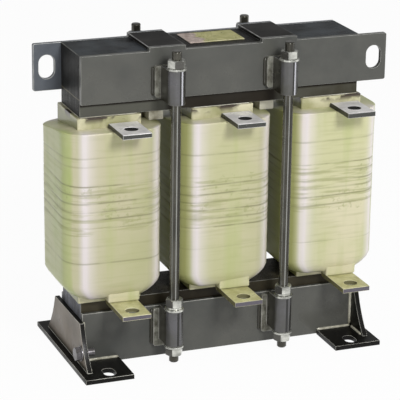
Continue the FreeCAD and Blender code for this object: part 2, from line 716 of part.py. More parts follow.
def web_outline(sketch):
    """A web that narrows upwards between two hollow curves."""
    half_top, half_bottom = "Sizes.web_top_width / 2", WEB_FOOT
    foot_z, top_z = "Sizes.foot_thickness", "Sizes.web_height"
    run = f"({half_bottom} - {half_top})"
    rise = f"({top_z} - {foot_z})"
    chord = f"sqrt({run} * {run} + {rise} * {rise})"
    sag = "Sizes.web_hollow"
    radius = f"({chord} * {chord} / 4 + {sag} * {sag}) / (2 * {sag})"
    corners = {(across, z): FreeCAD.Vector(across * value(half), value(z), 0)
               for across in (-1, 1) for half, z in ((half_bottom, foot_z), (half_top, top_z))}
    base = sketch.addGeometry(Part.LineSegment(corners[-1, foot_z], corners[1, foot_z]), False)
    crest = sketch.addGeometry(Part.LineSegment(corners[1, top_z], corners[-1, top_z]), False)
    for line, half, z in ((base, half_bottom, foot_z), (crest, half_top, top_z)):
        for end in (1, 2):
            across = -1 if sketch.getPoint(line, end).x < 0 else 1
            hold(sketch, "DistanceX", line, end, f"{across} * {half}")
            hold(sketch, "DistanceY", line, end, z)
    for across in (-1, 1):
        low, high = corners[across, foot_z], corners[across, top_z]
        along = (high - low).normalize()
        inward = FreeCAD.Vector(-along.y, along.x, 0) * across
        middle = (low + high) * 0.5 + inward * value(sag)
        side = sketch.addGeometry(Part.Arc(low, middle, high), False)
        for line in (base, crest):
            for end in (1, 2):
                for point in (1, 2):
                    if sketch.getPoint(side, point).distanceToPoint(sketch.getPoint(line, end)) < 0.01:
                        sketch.addConstraint(Sketcher.Constraint("Coincident", side, point, line, end))
        index = sketch.addConstraint(Sketcher.Constraint("Radius", side, value(radius)))
        sketch.setExpression(f"Constraints[{index}]", radius)


# Earth bolt. It is screwed into the web of the left foot from outside, just in front of the core,
# with a washer under its head.
def earth_bolt():
    y = f"-{EARTH_OFFSET}"
    z = "Sizes.earth_bolt_height"
    washer_x = f"-({CORE_END} + Sizes.foot_thickness) - Sizes.earth_washer_thickness"
    hexagon = hex_prism("earth_head", "Sizes.earth_head_width", "Sizes.earth_head_height")
    shank = rod("earth_shank", "Sizes.earth_bolt_diameter", "Sizes.earth_bolt_length",
                "0", "0", "Sizes.earth_head_height")
    bolt = fuse("earth_bolt", [hexagon, shank])
    lay_along_x(bolt, f"{washer_x} - Sizes.earth_head_height", y, z)
    node(bolt, "earth_bolt")
    loose = "(Sizes.earth_bolt_diameter + 2 * Sizes.rod_clearance)"
    washer = ring("earth_washer", "Sizes.earth_washer_diameter", loose, "Sizes.earth_washer_thickness")
    lay_along_x(washer, washer_x, y, z)
    node(washer, "earth_washer")


def lay_along_x(thing, x, y, z):
    """Turn an upright piece so that its axis runs along X, and put its base at x, y, z."""
    thing.Placement.Rotation = FreeCAD.Rotation(FreeCAD.Vector(0, 1, 0), 90)
    place(thing, x, y, z)


# Rating plate on the upper yoke, without print.
def rating_plate():
    plate = block("rating_plate", "Sizes.plate_length", "Sizes.plate_width", "Sizes.plate_thickness",
                  "0", "Sizes.plate_offset", CORE_TOP)
    node(plate, "rating_plate")


def build():
    core_stack()
    upper_yoke()
    gap_spacers()
    for face, sign in FACES.items():
        upper_clamp(face, sign)
        lower_clamp(face, sign)
    straps()
    rod_brackets()
    rod_fasteners()
    for phase, sign in PHASES.items():
        former(phase, sign)
        coil(phase, sign)
        terminal("upper", phase, sign)
        terminal("lower", phase, sign)
    coil_blocks()
    for side, sign in SIDES.items():
        foot(side, sign)
    earth_bolt()
    rating_plate()
    document.recompute()


def write_parts():
    """Check every object, then write one file for each node."""
    for thing in document.Objects:
        if {"Invalid", "Error"} & set(thing.State):
            raise RuntimeError(f"{thing.Label} failed: {thing.State}")
    for thing in nodes:
        shape = Part.getShape(thing)
        if shape.isNull() or not shape.isValid():
            raise RuntimeError(f"{thing.Label} has no valid shape")
    os.makedirs("parts", exist_ok=True)
    for thing in nodes:
        shape = Part.getShape(thing)
        shape.exportStep(os.path.join("parts", f"{thing.Label}.step"))
        print(f"{thing.Label}: {len(shape.Solids)} solid, {shape.Volume / 1000:.2f} cm3")


build()
write_parts()
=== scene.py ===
import bmesh
import bpy
import math
from mathutils import Matrix, Vector, noise


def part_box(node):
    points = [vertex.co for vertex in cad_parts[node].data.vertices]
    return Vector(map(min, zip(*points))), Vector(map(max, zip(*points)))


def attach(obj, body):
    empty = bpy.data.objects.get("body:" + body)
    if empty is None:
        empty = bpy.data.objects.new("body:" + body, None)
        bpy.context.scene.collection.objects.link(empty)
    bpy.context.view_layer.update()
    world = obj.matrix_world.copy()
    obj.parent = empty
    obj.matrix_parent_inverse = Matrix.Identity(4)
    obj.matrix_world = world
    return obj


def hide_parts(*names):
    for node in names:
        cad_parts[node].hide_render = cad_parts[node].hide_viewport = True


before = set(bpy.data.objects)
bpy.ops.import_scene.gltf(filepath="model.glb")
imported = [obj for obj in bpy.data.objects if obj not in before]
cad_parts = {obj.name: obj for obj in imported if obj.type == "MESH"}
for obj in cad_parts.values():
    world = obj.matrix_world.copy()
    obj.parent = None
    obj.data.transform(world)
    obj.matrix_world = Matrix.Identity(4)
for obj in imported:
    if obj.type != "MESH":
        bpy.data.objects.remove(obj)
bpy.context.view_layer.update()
scene = bpy.context.scene


# Core stack: the three limbs and the lower yoke, one stack of silicon-steel sheets that lie across Y.
# The sheet edges show at the ends and between the feet, under a thin coat of lacquer.
COLOR, NUMBER = "NodeSocketColor", "NodeSocketFloat"
STREAK_STRETCH = (9, 330, 9)
SHEET_STEPS = 630.0
SHARP_EDGE = math.radians(28)
FLAT_FACET = math.radians(0.6)


def srgb(red, green, blue):
    """A colour given as it looks on a screen, 0 to 255, turned into the light values of a shader."""
    return tuple((c / 255 / 12.92 if c < 11 else ((c / 255 + 0.055) / 1.055) ** 2.4)
                 for c in (red, green, blue)) + (1.0,)


def feed(tree, item, values):
    """Give each named input of a node its value, or join it to a socket."""
    for key, source in values.items():
        if isinstance(source, bpy.types.NodeSocket):
            tree.links.new(source, item.inputs[key])
        else:
            item.inputs[key].default_value = source
    return item


def add(tree, kind, values=None, **settings):
    """One shader node, with its settings and its inputs."""
    item = tree.nodes.new(kind)
    for key, setting in settings.items():
        setattr(item, key, setting)
    return feed(tree, item, values or {})


def place(tree):
    """The place on the object, in metres."""
    return add(tree, "ShaderNodeTexCoord").outputs["Object"]


def stretched(tree, where, scale):
    """A place made finer or coarser along each axis."""
    return add(tree, "ShaderNodeMapping", {"Vector": where, "Scale": scale}).outputs["Vector"]


def cloud(tree, where, scale, detail=2.0, roughness=0.5):
    """Noise between 0 and 1."""
    return add(tree, "ShaderNodeTexNoise", {"Vector": where, "Scale": scale, "Detail": detail,
                                            "Roughness": roughness}).outputs["Fac"]


def reckon(tree, operation, *terms, clamp=False):
    """One step of arithmetic on sockets and numbers."""
    return add(tree, "ShaderNodeMath", dict(enumerate(terms)), operation=operation,
               use_clamp=clamp).outputs[0]


def spread(tree, source, low, high, start=0.0, end=1.0):
    """A value that runs from start to end while its source runs from low to high."""
    return add(tree, "ShaderNodeMapRange", {"Value": source, "From Min": low, "From Max": high,
                                            "To Min": start, "To Max": end}).outputs["Result"]


def blend(tree, share, under, over):
    """One colour laid over another by a share between 0 and 1."""
    return add(tree, "ShaderNodeMix", {0: share, 6: under, 7: over}, data_type="RGBA").outputs[2]


def marked(tree, name):
    """What a mark on the mesh says here."""
    return add(tree, "ShaderNodeAttribute", attribute_name=name).outputs["Fac"]


def bumps(tree, height, strength, distance):
    """The normal of a surface with a fine relief."""
    return add(tree, "ShaderNodeBump", {"Height": height, "Strength": strength,
                                        "Distance": distance}).outputs["Normal"]


def new_group(name, takes, gives):
    """An empty shader group with named sockets. It returns the group, what it is given, and its output."""
    group = bpy.data.node_groups.new(name, "ShaderNodeTree")
    for label, kind, default in takes:
        group.interface.new_socket(label, in_out="INPUT", socket_type=kind).default_value = default
    for label, kind in gives:
        group.interface.new_socket(label, in_out="OUTPUT", socket_type=kind)
    return group, group.nodes.new("NodeGroupInput").outputs, group.nodes.new("NodeGroupOutput")


def place_group(tree, group, values):
    """A group placed in a material. It returns the group's outputs."""
    return add(tree, "ShaderNodeGroup", values, node_tree=group).outputs


def new_material(name, **shader_values):
    """A material with one Principled shader. Plain numbers go on the shader's own sockets."""
    material = bpy.data.materials.new(name)
    material.use_nodes = True
    shader = material.node_tree.nodes["Principled BSDF"]
    for key, number in shader_values.items():
        shader.inputs[key.replace("_", " ")].default_value = number
    return material, material.node_tree, shader


def edges_of_sheets():
    """Streaks that follow the sheets, with the fine step from one sheet to the next as height."""
    group, given, result = new_group(
        "sheet_edges",
        [("Dark", COLOR, (0.02, 0.02, 0.02, 1)), ("Light", COLOR, (0.1, 0.1, 0.1, 1)),
         ("Low Roughness", NUMBER, 0.25), ("High Roughness", NUMBER, 0.5)],
        [("Color", COLOR), ("Roughness", NUMBER), ("Height", NUMBER)])
    where = place(group)
    streak = cloud(group, stretched(group, where, STREAK_STRETCH), 1.0, 5.0, 0.7)
    patch = cloud(group, where, 38.0, 4.0)
    shade = spread(group, reckon(group, "MULTIPLY", streak, patch), 0.14, 0.38)
    steps = add(group, "ShaderNodeTexWave", {"Vector": where, "Scale": SHEET_STEPS, "Distortion": 0.6},
                wave_type="BANDS", bands_direction="Y").outputs["Fac"]
    feed(group, result, {
        "Color": blend(group, shade, given["Dark"], given["Light"]),
        "Roughness": spread(group, streak, 0.3, 0.7, given["Low Roughness"], given["High Roughness"]),
        "Height": reckon(group, "MULTIPLY_ADD", streak, 0.6, steps)})
    return group


def edge_wear_and_light_group():
    """Paint thins along each bevelled edge, with breaks; the edge colour laid there is also a painted
    highlight, and painted shade where that colour is dark.
    """
    group, given, result = new_group(
        "edge_wear_and_light",
        [("Color", COLOR, (0.1, 0.1, 0.1, 1)), ("Edge Colour", COLOR, (0.5, 0.5, 0.5, 1)),
         ("Amount", NUMBER, 0.7)],
        [("Color", COLOR), ("Mask", NUMBER)])
    broken = spread(group, cloud(group, place(group), 70.0, 3.0), 0.3, 0.55, 0.35, 1.0)
    rim = reckon(group, "MULTIPLY", marked(group, "edge"), broken)
    mask = reckon(group, "MULTIPLY", rim, given["Amount"], clamp=True)
    feed(group, result, {"Color": blend(group, mask, given["Color"], given["Edge Colour"]), "Mask": mask})
    return group


sheet_edges, edge_wear_and_light = edges_of_sheets(), edge_wear_and_light_group()


def with_edge_wear_and_light(tree, colour, edge_colour, amount):
    """A colour with worn edges, whose edge colour is also painted light along them."""
    return place_group(tree, edge_wear_and_light, {"Color": colour, "Edge Colour": edge_colour, "Amount": amount})["Color"]


def sheet_lacquer(name, dark, light, edge_colour, amount, broad, broad_second, marks_left=None):
    """Lacquer over the sheet edges and, in clouds of two shades, over the broad outer sheet."""
    material, tree, shader = new_material(name, Specular_IOR_Level=0.1)
    where = place(tree)
    edges = place_group(tree, sheet_edges, {"Dark": dark, "Light": light})
    clouds = spread(tree, cloud(tree, where, 12.0, 5.0), 0.42, 0.58)
    on_edges, on_sheet = edges["Color"], blend(tree, clouds, broad_second, broad)
    if marks_left:
        on_edges, on_sheet = marks_left(tree, where, on_edges, on_sheet)
    colour = blend(tree, marked(tree, "broad"), on_edges, on_sheet)
    feed(tree, shader, {"Base Color": with_edge_wear_and_light(tree, colour, edge_colour, amount), "Roughness": edges["Roughness"],
                        "Normal": bumps(tree, edges["Height"], 0.25, 0.0003)})
    return material


def as_piece(bm, name, material, slot, *replaced):
    """Make a finished mesh into a piece of the object."""
    mesh = bpy.data.meshes.new(name)
    bm.to_mesh(mesh)
    bm.free()
    mesh.materials.append(material)
    piece = bpy.data.objects.new(name, mesh)
    scene.collection.objects.link(piece)
    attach(piece, "root")
    if replaced:
        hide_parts(*replaced)
    return piece


def soften(bm, width):
    """Bevel each sharp edge and mark the middle of the bevel, where paint wears and where edge light is
    painted.
    """
    sharp = [e for e in bm.edges if e.is_manifold and e.calc_face_angle(0) > SHARP_EDGE]
    made = bmesh.ops.bevel(bm, geom=sharp, offset=width, offset_type="OFFSET", segments=2, profile=0.5,
                           affect="EDGES", clamp_overlap=True, material=-1)
    strip = set(made["faces"])
    rim = bm.verts.layers.float.new("edge")
    for vert in bm.verts:
        if vert.link_faces and all(face in strip for face in vert.link_faces):
            vert[rim] = 1.0


def smooth(piece, weight=90, crease=None):
    """Shade a piece smooth, with the wide flat faces keeping their own direction. Where a crease is
    given, edges that turn by more degrees than it stay sharp."""
    for face in piece.data.polygons:
        face.use_smooth = True
    keep = piece.modifiers.new("even_shading", "WEIGHTED_NORMAL")
    keep.weight = weight
    if crease:
        piece.data.set_sharp_from_angle(angle=math.radians(crease))
        keep.keep_sharp = True
    return piece


def dress(node, name, material, slot, width):
    """A copy of a CAD node with merged facets and eased edges."""
    bm = bmesh.new()
    bm.from_mesh(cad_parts[node].data)
    bmesh.ops.remove_doubles(bm, verts=bm.verts, dist=1e-6)
    bmesh.ops.dissolve_limit(bm, angle_limit=FLAT_FACET, verts=bm.verts, edges=bm.edges)
    soften(bm, width)
    return smooth(as_piece(bm, name, material, slot, node))


def mark(piece, name, rule):
    """Mark the faces of a piece that pass a rule, for its material to read."""
    sign = piece.data.attributes.new(name, "FLOAT", "FACE")
    for face in piece.data.polygons:
        sign.data[face.index].value = 1.0 if rule(face) else 0.0


# The broad faces of the core are painted darker than the yoke's, as painted shade from the coils over them.
core_lacquer = sheet_lacquer(
    "core_lacquer", dark=srgb(30, 28, 26), light=srgb(128, 130, 138), edge_colour=srgb(158, 158, 152),
    amount=0.8, broad=srgb(60, 56, 44), broad_second=srgb(36, 32, 24))
core = dress("core_stack", "core_sheets", core_lacquer, "core_lacquer", 0.0006)
mark(core, "broad", lambda face: abs(face.normal.x) < 0.9)


# Upper yoke: a stack of its own, laid on the limbs after the coils are on. Black lacquer runs along
# the sheets on top, and the line of the resin dip shows low on its ends.
DIP_LINE = 0.2796
UNDER_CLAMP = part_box("upper_clamp_front")[0][2]
STRAP_NEAR, STRAP_IN = 0.056, 0.062


def axis(tree, where, letter):
    """One coordinate of a place."""
    return add(tree, "ShaderNodeSeparateXYZ", {"Vector": where}).outputs[letter]


def dip_marks_and_shadow(tree, where, on_edges, on_sheet):
    """The ends are darker and show the line of the dip. The lacquer is darker between the two straps, and a
    painted shadow lies on the strip just under the clamp plate."""
    wander = cloud(tree, where, 40.0)
    up = reckon(tree, "MULTIPLY_ADD", wander, 0.0012, axis(tree, where, "Z"))
    end = reckon(tree, "MULTIPLY", marked(tree, "end"), 0.75)
    off_line = reckon(tree, "ABSOLUTE", reckon(tree, "SUBTRACT", up, DIP_LINE))
    line = spread(tree, off_line, 0.0003, 0.0009, 0.7, 0.0)
    off_middle = reckon(tree, "ABSOLUTE", axis(tree, where, "X"))
    between = spread(tree, off_middle, STRAP_NEAR, STRAP_IN, 0.85, 0.0)
    # A painted shadow on the strip just under the clamp plate.
    under = spread(tree, up, UNDER_CLAMP - 0.0035, UNDER_CLAMP - 0.0015, 0.0, 0.9)
    for share, over in ((end, srgb(24, 21, 15)), (line, srgb(120, 116, 98)), (between, srgb(22, 20, 16))):
        on_edges = blend(tree, share, on_edges, over)
    dark_middle_and_shadow = reckon(tree, "MAXIMUM", between, under)
    return on_edges, blend(tree, dark_middle_and_shadow, on_sheet, srgb(30, 24, 18))


yoke_lacquer = sheet_lacquer(
    "yoke_lacquer", dark=srgb(9, 9, 8), light=srgb(66, 71, 75), edge_colour=srgb(158, 158, 150), amount=0.9,
    broad=srgb(84, 84, 77), broad_second=srgb(62, 60, 50), marks_left=dip_marks_and_shadow)
yoke = dress("upper_yoke", "yoke_sheets", yoke_lacquer, "yoke_lacquer", 0.0006)
mark(yoke, "broad", lambda face: abs(face.normal.y) > 0.9)
mark(yoke, "end", lambda face: abs(face.normal.x) > 0.9)


# Gap spacers: glass-fibre laminate between each limb and the upper yoke, which holds the air gap open.
# A block of the same board wedges each of two coils against the yoke, on its right shoulder.
def board(name, pale, dark):
    """Laminate with its cloth showing through in stains, and with white cut edges."""
    material, tree, shader = new_material(name, Roughness=0.55)
    where = place(tree)
    cloth, stain = cloud(tree, where, 90.0, 6.0), cloud(tree, where, 22.0, 3.0)
    shade = spread(tree, reckon(tree, "MULTIPLY", cloth, stain), 0.18, 0.33)
    colour = with_edge_wear_and_light(tree, blend(tree, shade, dark, pale), srgb(240, 240, 232), 0.8)
    feed(tree, shader, {"Base Color": colour, "Normal": bumps(tree, cloth, 0.3, 0.0003)})
    return material


spacer_board = board("spacer_board", srgb(226, 222, 204), srgb(150, 140, 108))
for phase in ("left", "centre", "right"):
    dress(f"gap_spacer_{phase}", f"gap_board_{phase}", spacer_board, "spacer_laminate", 0.0004)
for side in ("left", "right"):
    dress(f"coil_block_{side}", f"packing_block_{side}", spacer_board, "spacer_laminate", 0.0008)


# Clamp plates: 5 mm steel plates along both sides of each yoke, cut with tabs and slotted ears, under
# glossy grey-black enamel. Straps join the tabs of the two plates across each yoke.
PEEL_SCALE, PEEL_DEPTH = 420.0, 0.0002


def paint_in_clouds():
    """Paint in two shades, rougher where the second one shows, with orange peel as height."""
    group, given, result = new_group(
        "mottle",
        [("Color", COLOR, (0.1, 0.1, 0.1, 1)), ("Second", COLOR, (0.05, 0.05, 0.05, 1)),
         ("Scale", NUMBER, 12.0), ("Low Roughness", NUMBER, 0.25), ("High Roughness", NUMBER, 0.45)],
        [("Color", COLOR), ("Roughness", NUMBER), ("Height", NUMBER)])
    where = place(group)
    clouds = cloud(group, where, given["Scale"], 6.0, 0.62)
    shade = spread(group, clouds, 0.35, 0.65)
    feed(group, result, {
        "Color": blend(group, shade, given["Second"], given["Color"]),
        "Roughness": spread(group, clouds, 0.35, 0.65, given["High Roughness"], given["Low Roughness"]),
        "Height": cloud(group, where, PEEL_SCALE)})
    return group


mottle = paint_in_clouds()


def coating(tree, colour, second, scale, low=0.25, high=0.45):
    """Mottled paint placed in a material, with its lowest and highest roughness."""
    return place_group(tree, mottle, {"Color": colour, "Second": second, "Scale": scale,
                                      "Low Roughness": low, "High Roughness": high})


def cover(tree, shader, coat, colour, edge_colour, amount, peel):
    """Join a coating to the shader: a colour with worn edges that also carry painted edge light, and the
    coating's own roughness and peel.
    """
    feed(tree, shader, {"Base Color": with_edge_wear_and_light(tree, colour, edge_colour, amount), "Roughness": coat["Roughness"],
                        "Normal": bumps(tree, coat["Height"], peel, PEEL_DEPTH)})


def enamel(name, colour, second, edge_colour, scale=12.0, amount=0.7, coat=0.35, low=0.25, high=0.42, peel=0.12,
           metallic=0.0, specular=0.3):
    """Enamel or plating in two shades, with worn edges that also carry painted edge light."""
    material, tree, shader = new_material(name, Coat_Weight=coat, Coat_Roughness=0.1, Metallic=metallic,
                                          Specular_IOR_Level=specular)
    skin = coating(tree, colour, second, scale, low, high)
    cover(tree, shader, skin, skin["Color"], edge_colour, amount, peel)
    return material


# The light edge colours of these enamels are worn paint and also a painted highlight along the edges.
rim_colour = srgb(206, 206, 200)
clamp_enamel = enamel("clamp_enamel", srgb(86, 86, 81), srgb(68, 69, 66), rim_colour, coat=0.15, amount=0.85)
rear_enamel = enamel("rear_enamel", srgb(98, 103, 110), srgb(80, 84, 90), rim_colour, coat=0.15, amount=0.85)
strap_enamel = enamel("strap_enamel", srgb(22, 20, 14), srgb(10, 9, 7), srgb(206, 206, 204), coat=0.0,
                      amount=0.85, low=0.35, high=0.5, specular=0.15)
for level in ("upper", "lower"):
    for face, finish in (("front", clamp_enamel), ("rear", rear_enamel)):
        dress(f"{level}_clamp_{face}", f"{level}_plate_{face}", finish, "clamp_paint", 0.0008)
for level in ("upper", "lower"):
    for side in ("left", "right"):
        dress(f"{level}_strap_{side}", f"{level}_tie_{side}", strap_enamel, "strap_paint", 0.0008)


# Rod brackets: a pad with a folded sheet sleeve for the rod, welded to the clamp plate and dipped in
# the same enamel, which dries mottled over the weld.
PAD_FACE, NOSE_START = 0.0402, 0.0605
BRACKET_X, CLAMP_FACE = 0.060, 0.035
BEAD_SHIFT, BEAD_WIDTH = 0.0157, 0.0042
RIPPLE, RIPPLE_CUT, END_SWELL = 0.0032, 0.0016, 0.55
HAIR = 1e-5


def bracket_coat():
    """Clouded enamel, coarse on the pad and painted lighter there as painted light, with painted shade on
    the side walls and across the nose and a painted highlight along one line of it.
    """
    material, tree, shader = new_material("bracket_enamel", Coat_Weight=0.5, Coat_Roughness=0.12,
                                          Specular_IOR_Level=0.3)
    nose = coating(tree, srgb(88, 87, 90), srgb(68, 68, 61), 28.0)
    seat = coating(tree, srgb(140, 140, 130), srgb(76, 74, 64), 130.0)
    colour = nose["Color"]
    # Painted shade on the side walls and the weld beads, painted light on the pad, a painted highlight on
    # the nose, and painted shade in the bands beside it.
    for name, over in (("shaded_wall", srgb(40, 38, 28)), ("seat", seat["Color"]),
                       ("painted_highlight", srgb(172, 172, 178)), ("nose_shade", srgb(26, 26, 24))):
        colour = blend(tree, marked(tree, name), colour, over)
    cover(tree, shader, nose, colour, srgb(216, 214, 208), 0.5, 0.1)
    return material


def on_nose(f, face, first, last):
    """Whether a face on the bracket's round nose is turned between two angles from straight ahead."""
    if abs(f.center.y) < NOSE_START or abs(f.normal.z) > 0.3:
        return False
    ahead = -f.normal.y if face == "front" else f.normal.y
    return first < math.degrees(math.atan2(f.normal.x, ahead)) < last


def slice_through(bm, point, normal):
    """Cut a mesh along a plane, and return the vertices on the cut."""
    done = bmesh.ops.bisect_plane(bm, geom=bm.verts[:] + bm.edges[:] + bm.faces[:], plane_co=point,
                                  plane_no=normal)
    return [item for item in done["geom_cut"] if isinstance(item, bmesh.types.BMVert)]


def weld(name, start, end, width, material, slot):
    """A bead laid from one point to another, with the ripple that the weld pool leaves."""
    start, end = Vector(start), Vector(end)
    run = end - start
    bm = bmesh.new()
    bmesh.ops.create_cone(bm, cap_ends=True, segments=10, radius1=width / 2, radius2=width / 2,
                          depth=run.length)
    count = max(4, int(run.length / RIPPLE_CUT))
    for step in range(1, count):
        slice_through(bm, (0, 0, run.length * (step / count - 0.5)), (0, 0, 1))
    for vert in bm.verts:
        along = vert.co.z / RIPPLE
        swell = 0.86 + 0.14 * abs(math.sin(math.pi * along)) + 0.12 * noise.noise(Vector((along, 3.0, 0.0)))
        if abs(vert.co.z) > run.length / 2 - HAIR:
            swell *= END_SWELL
        vert.co.x *= swell
        vert.co.y *= swell
    turn = run.to_track_quat("Z", "Y").to_matrix().to_4x4()
    bmesh.ops.transform(bm, matrix=Matrix.Translation((start + end) / 2) @ turn, verts=bm.verts)
    return smooth(as_piece(bm, name, material, slot))


bracket_enamel = bracket_coat()
for level in ("upper", "lower"):
    for face in ("front", "rear"):
        for side in ("left", "right"):
            piece = dress(f"{level}_bracket_{face}_{side}", f"{level}_saddle_{face}_{side}", bracket_enamel,
                          "bracket_paint", 0.0007)
            # Marks for the painted shade, painted light and painted highlight of the bracket's coat.
            mark(piece, "shaded_wall", lambda f: abs(f.normal.x) > 0.9 and PAD_FACE < abs(f.center.y) < NOSE_START)
            mark(piece, "seat", lambda f: abs(f.center.y) < PAD_FACE)
            mark(piece, "painted_highlight", lambda f: level == "upper" and on_nose(f, face, 15, 28))
            mark(piece, "nose_shade", lambda f: on_nose(f, face, 1, 15) or on_nose(f, face, 28, 62))
for side, x in (("left", -BRACKET_X), ("right", BRACKET_X)):
    for face, y in (("front", -CLAMP_FACE), ("rear", CLAMP_FACE)):
        for level, low, high in (("upper", 0.2795, 0.3085), ("lower", 0.0145, 0.0530)):
            for edge, at in (("near", x - BEAD_SHIFT), ("far", x + BEAD_SHIFT)):
                bead = weld(f"{level}_bead_{face}_{side}_{edge}", (at, y, low), (at, y, high), BEAD_WIDTH,
                            bracket_enamel, "bracket_paint")
                # The weld beads carry the painted shade of the side walls.
                mark(bead, "shaded_wall", lambda f: True)


# Tie rods: M10 rods through the brackets, in front of and behind the core, lacquered dark, with a
# rolled thread at each end where the nuts run.
PITCH, THREAD_START = 0.0015, 0.0012
ROOT, TIP = 0.90, 0.82
LOWER_THREAD, UPPER_THREAD = 0.062, 0.030


def rod_lacquer():
    """Dark lacquer on steel, painted lighter on its left side as painted light, with a painted highlight
    line and painted shade over its right side.
    """
    material, tree, shader = new_material("rod_lacquer", Metallic=0.6, Coat_Weight=0.3, Coat_Roughness=0.08)
    skin = coating(tree, srgb(78, 76, 67), srgb(50, 48, 40), 30.0, 0.16, 0.32)
    colour = skin["Color"]
    # Painted light on the left side, a painted highlight line, and painted shade on the right side.
    for name, over in (("painted_light_side", srgb(108, 108, 104)), ("painted_highlight", srgb(150, 150, 146)),
                       ("run", srgb(42, 41, 34))):
        colour = blend(tree, marked(tree, name), colour, over)
    feed(tree, shader, {"Base Color": colour, "Roughness": skin["Roughness"]})
    return material


def turn_to_right(f):
    """How far a face has turned from the front towards the right, in degrees."""
    return math.degrees(math.atan2(f.normal.x, -f.normal.y))


rod_finish = rod_lacquer()
for side in ("left", "right"):
    for face in ("front", "rear"):
        low, high = (Vector(corner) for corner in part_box(f"tie_rod_{face}_{side}"))
        middle, size = (low + high) / 2, high - low
        bm = bmesh.new()
        bmesh.ops.create_cone(bm, cap_ends=True, segments=32, radius1=size.x / 2, radius2=size.x / 2,
                              depth=size.z, matrix=Matrix.Translation(middle))
        root = bm.verts.layers.int.new("root")
        for end, inward, run in ((low.z, 1, LOWER_THREAD), (high.z, -1, UPPER_THREAD)):
            for step in range(int(run / PITCH * 2) + 1):
                z = end + inward * (THREAD_START + step * PITCH / 2)
                for vert in slice_through(bm, (0, 0, z), (0, 0, 1)):
                    vert[root] = step % 2
        for vert in bm.verts:
            tight = ROOT if vert[root] else 1.0
            if min(vert.co.z - low.z, high.z - vert.co.z) < HAIR:
                tight = TIP
            vert.co.xy = middle.xy + (vert.co.xy - middle.xy) * tight
        rod = smooth(as_piece(bm, f"rod_{face}_{side}", rod_finish, "rod_steel", f"tie_rod_{face}_{side}"))
        # Painted light, a painted highlight line and painted shade, each on the faces turned between two
        # angles.
        for name, first, last in (("painted_light_side", -72, -40), ("painted_highlight", -16, -4), ("run", 6, 130)):
            mark(rod, name, lambda f: first < turn_to_right(f) < last and abs(f.normal.z) < 0.5)


# Nuts and washers: M10 hex nuts and flat washers in bright zinc, each kind in one piece, tightened
# on the rods. Spring washers sit under the middle nuts.
def is_shaded_flat(f):
    """One flat of each nut is painted darker as painted shade."""
    first, last = (-12, 12) if f.center.x < 0 and f.center.z > 0.2 else (-75, -45)
    return first < turn_to_right(f) < last


# The dark edge colour of the zinc paints shade along the edges of the nuts and washers.
zinc = enamel("zinc", srgb(222, 222, 214), srgb(128, 129, 124), srgb(22, 21, 19), scale=90.0, amount=1.0,
              coat=0.0, low=0.16, high=0.3, peel=0.03, metallic=0.7)
tree = zinc.node_tree
colour_in = tree.nodes["Principled BSDF"].inputs["Base Color"]
plated = colour_in.links[0].from_socket
# Painted shade on one flat of each nut.
tree.links.new(blend(tree, marked(tree, "shaded_flat"), plated, srgb(92, 91, 87)), colour_in)
for node in ("upper_nuts", "middle_nuts", "lower_nuts"):
    mark(dress(node, f"hex_{node}", zinc, "zinc_steel", 0.0008), "shaded_flat", is_shaded_flat)
for node in ("upper_washers", "lower_washers", "spring_washers"):
    dress(node, f"flat_{node}", zinc, "zinc_steel", 0.0003)


# Formers: square tubes of resin-soaked laminate on the limbs, wound first and then cured, and darker
# in patches where they meet the yoke.
FLANK_SHADE_LOW, DARK_TOP_LOW, FORMER_TOP = 0.2560, 0.2545, 0.2600


def soaked_laminate():
    """Laminate in two pale shades, with painted shade in olive low on its flanks and darker patches just
    under its top.
    """
    material, tree, shader = new_material("soaked_laminate", Coat_Weight=0.5, Coat_Roughness=0.15)
    where = place(tree)
    up = axis(tree, where, "Z")
    cloth = cloud(tree, where, 45.0, 6.0)
    shade = spread(tree, cloth, 0.35, 0.65)
    brink = spread(tree, up, DARK_TOP_LOW, FORMER_TOP)
    dark_top_patches = reckon(tree, "MULTIPLY", brink, spread(tree, cloud(tree, where, 55.0, 3.0), 0.50, 0.56))
    # Painted shade in olive on the flanks, just above the coil's top.
    level = reckon(tree, "MULTIPLY_ADD", shade, -0.004, up)
    flank_shade = spread(tree, level, FLANK_SHADE_LOW, FORMER_TOP, 0.9, 0.0)
    flank_shade = reckon(tree, "MULTIPLY", flank_shade, marked(tree, "flank"))
    colour = blend(tree, shade, srgb(160, 158, 116), srgb(208, 203, 172))
    for share, over in ((flank_shade, srgb(112, 114, 54)), (dark_top_patches, srgb(52, 38, 24))):
        colour = blend(tree, share, colour, over)
    feed(tree, shader, {"Base Color": colour, "Roughness": spread(tree, cloth, 0.0, 1.0, 0.3, 0.5),
                        "Normal": bumps(tree, cloth, 0.35, 0.0005)})
    return material


former_finish = soaked_laminate()
for phase in ("left", "centre", "right"):
    tube = dress(f"former_{phase}", f"tube_{phase}", former_finish, "former_laminate", 0.0006)
    mark(tube, "flank", lambda face: abs(face.normal.x) > 0.9)


# Coils: copper wound on the former, bound with glass tape and dipped in clear resin. Narrow tape turns
# bind the middle, the lower edge is drawn in, and each coil came out a little different.
WEAVE_STRETCH, LAP_STRETCH = (22, 22, 260), (60, 60, 6)
BOUND_MIDDLE, BOUND_HALF = 0.169, 0.026


